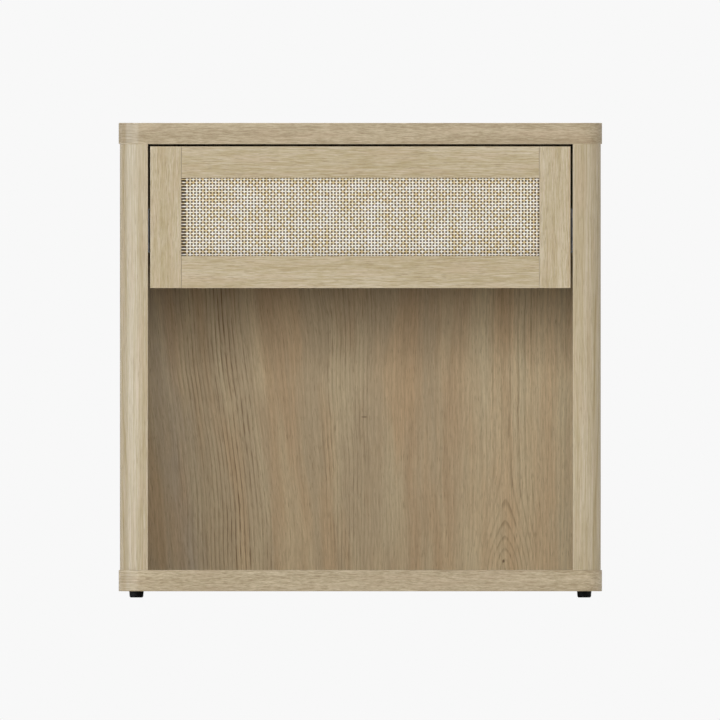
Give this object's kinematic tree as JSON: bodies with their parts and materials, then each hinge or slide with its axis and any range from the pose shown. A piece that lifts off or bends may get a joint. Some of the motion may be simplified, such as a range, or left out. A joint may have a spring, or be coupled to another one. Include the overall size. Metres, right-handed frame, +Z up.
{
  "type": "nightstand",
  "caption": "Box nightstand with rounded front corners, an open niche and above it a handle-less inset drawer with a woven cane front on full-extension ball slides.",
  "frame": {"origin": "on the floor, under the middle of the cabinet", "axes": "+X to the cabinet's right as seen from the front, +Y from the front to the back, +Z up"},
  "size_m": [0.5, 0.4, 0.491],
  "materials": {
    "oak_veneer": "matte lacquered light oak veneer",
    "back_veneer": "matte light walnut-toned oak veneer",
    "woven_cane": "natural matte plain-woven cane",
    "dark_backing": "dark brown painted board",
    "drawer_board": "matte oak foil",
    "beech": "raw fluted beech",
    "zinc_steel": "bright zinc plate",
    "zinc_alloy": "die-cast zinc alloy",
    "ball_steel": "polished bearing steel",
    "black_plastic": "matte black moulded plastic"
  },
  "bodies": {
    "cabinet": {"top_board": "oak_veneer", "bottom_board": "oak_veneer", "right_side_panel": "oak_veneer", "left_side_panel": "oak_veneer", "back_panel": "back_veneer", "foot_front_left": "black_plastic", "foot_front_right": "black_plastic", "foot_back_left": "black_plastic", "foot_back_right": "black_plastic", "foot_screws": "zinc_steel", "carcass_cams": "zinc_alloy", "carcass_cam_bolts": "zinc_steel", "carcass_dowels": "beech", "carcass_screws": "zinc_steel", "right_slide_fixed_member": "zinc_steel", "left_slide_fixed_member": "zinc_steel", "slide_screws": "zinc_steel", "right_slide_rear_stop": "black_plastic", "left_slide_rear_stop": "black_plastic"},
    "drawer": {"right_drawer_front_stile": "oak_veneer", "left_drawer_front_stile": "oak_veneer", "drawer_front_top_rail": "oak_veneer", "drawer_front_bottom_rail": "oak_veneer", "cane_mat": "woven_cane", "cane_backing_board": "dark_backing", "right_drawer_side": "drawer_board", "left_drawer_side": "drawer_board", "drawer_back": "drawer_board", "drawer_bottom": "drawer_board", "drawer_frame_dowels": "beech", "drawer_cams": "zinc_alloy", "drawer_cam_bolts": "zinc_steel", "drawer_back_screws": "zinc_steel", "drawer_bottom_screws": "zinc_steel", "right_slide_runner": "zinc_steel", "left_slide_runner": "zinc_steel", "runner_screws": "zinc_steel", "lever_rivets": "zinc_steel"},
    "right_slide_middle": {"right_slide_middle_member": "zinc_steel"},
    "right_outer_cage": {"right_outer_ball_cage": "zinc_steel", "right_outer_balls": "ball_steel"},
    "right_inner_cage": {"right_inner_ball_cage": "zinc_steel", "right_inner_balls": "ball_steel"},
    "right_release_lever": {"right_release_lever": "black_plastic"},
    "left_slide_middle": {"left_slide_middle_member": "zinc_steel"},
    "left_outer_cage": {"left_outer_ball_cage": "zinc_steel", "left_outer_balls": "ball_steel"},
    "left_inner_cage": {"left_inner_ball_cage": "zinc_steel", "left_inner_balls": "ball_steel"},
    "left_release_lever": {"left_release_lever": "black_plastic"}
  },
  "joints": [
    {"name": "drawer_slide", "type": "slide", "parent": "cabinet", "child": "drawer", "axis": [0, -1, 0], "range_m": [0, 0.35]},
    {"name": "right_slide_middle_travel", "type": "slide", "parent": "cabinet", "child": "right_slide_middle", "axis": [0, -1, 0], "range_m": [0, 0.175]},
    {"name": "right_outer_cage_travel", "type": "slide", "parent": "cabinet", "child": "right_outer_cage", "axis": [0, -1, 0], "range_m": [0, 0.0875]},
    {"name": "right_inner_cage_travel", "type": "slide", "parent": "cabinet", "child": "right_inner_cage", "axis": [0, -1, 0], "range_m": [0, 0.2625]},
    {"name": "right_release_lever_pivot", "type": "hinge", "parent": "drawer", "child": "right_release_lever", "pos_m": [0.20995, 0.09, 0.3795], "axis": [1, 0, 0], "range_deg": [0, 6], "stiffness_Nm_per_rad": 0.02},
    {"name": "left_slide_middle_travel", "type": "slide", "parent": "cabinet", "child": "left_slide_middle", "axis": [0, -1, 0], "range_m": [0, 0.175]},
    {"name": "left_outer_cage_travel", "type": "slide", "parent": "cabinet", "child": "left_outer_cage", "axis": [0, -1, 0], "range_m": [0, 0.0875]},
    {"name": "left_inner_cage_travel", "type": "slide", "parent": "cabinet", "child": "left_inner_cage", "axis": [0, -1, 0], "range_m": [0, 0.2625]},
    {"name": "left_release_lever_pivot", "type": "hinge", "parent": "drawer", "child": "left_release_lever", "pos_m": [-0.20995, 0.09, 0.3795], "axis": [1, 0, 0], "range_deg": [0, 6], "stiffness_Nm_per_rad": 0.02}
  ],
  "couplings": [
    {"joint": "right_slide_middle_travel", "follows": "drawer_slide", "ratio": 0.5},
    {"joint": "right_outer_cage_travel", "follows": "drawer_slide", "ratio": 0.25},
    {"joint": "right_inner_cage_travel", "follows": "drawer_slide", "ratio": 0.75},
    {"joint": "left_slide_middle_travel", "follows": "drawer_slide", "ratio": 0.5},
    {"joint": "left_outer_cage_travel", "follows": "drawer_slide", "ratio": 0.25},
    {"joint": "left_inner_cage_travel", "follows": "drawer_slide", "ratio": 0.75}
  ]
}
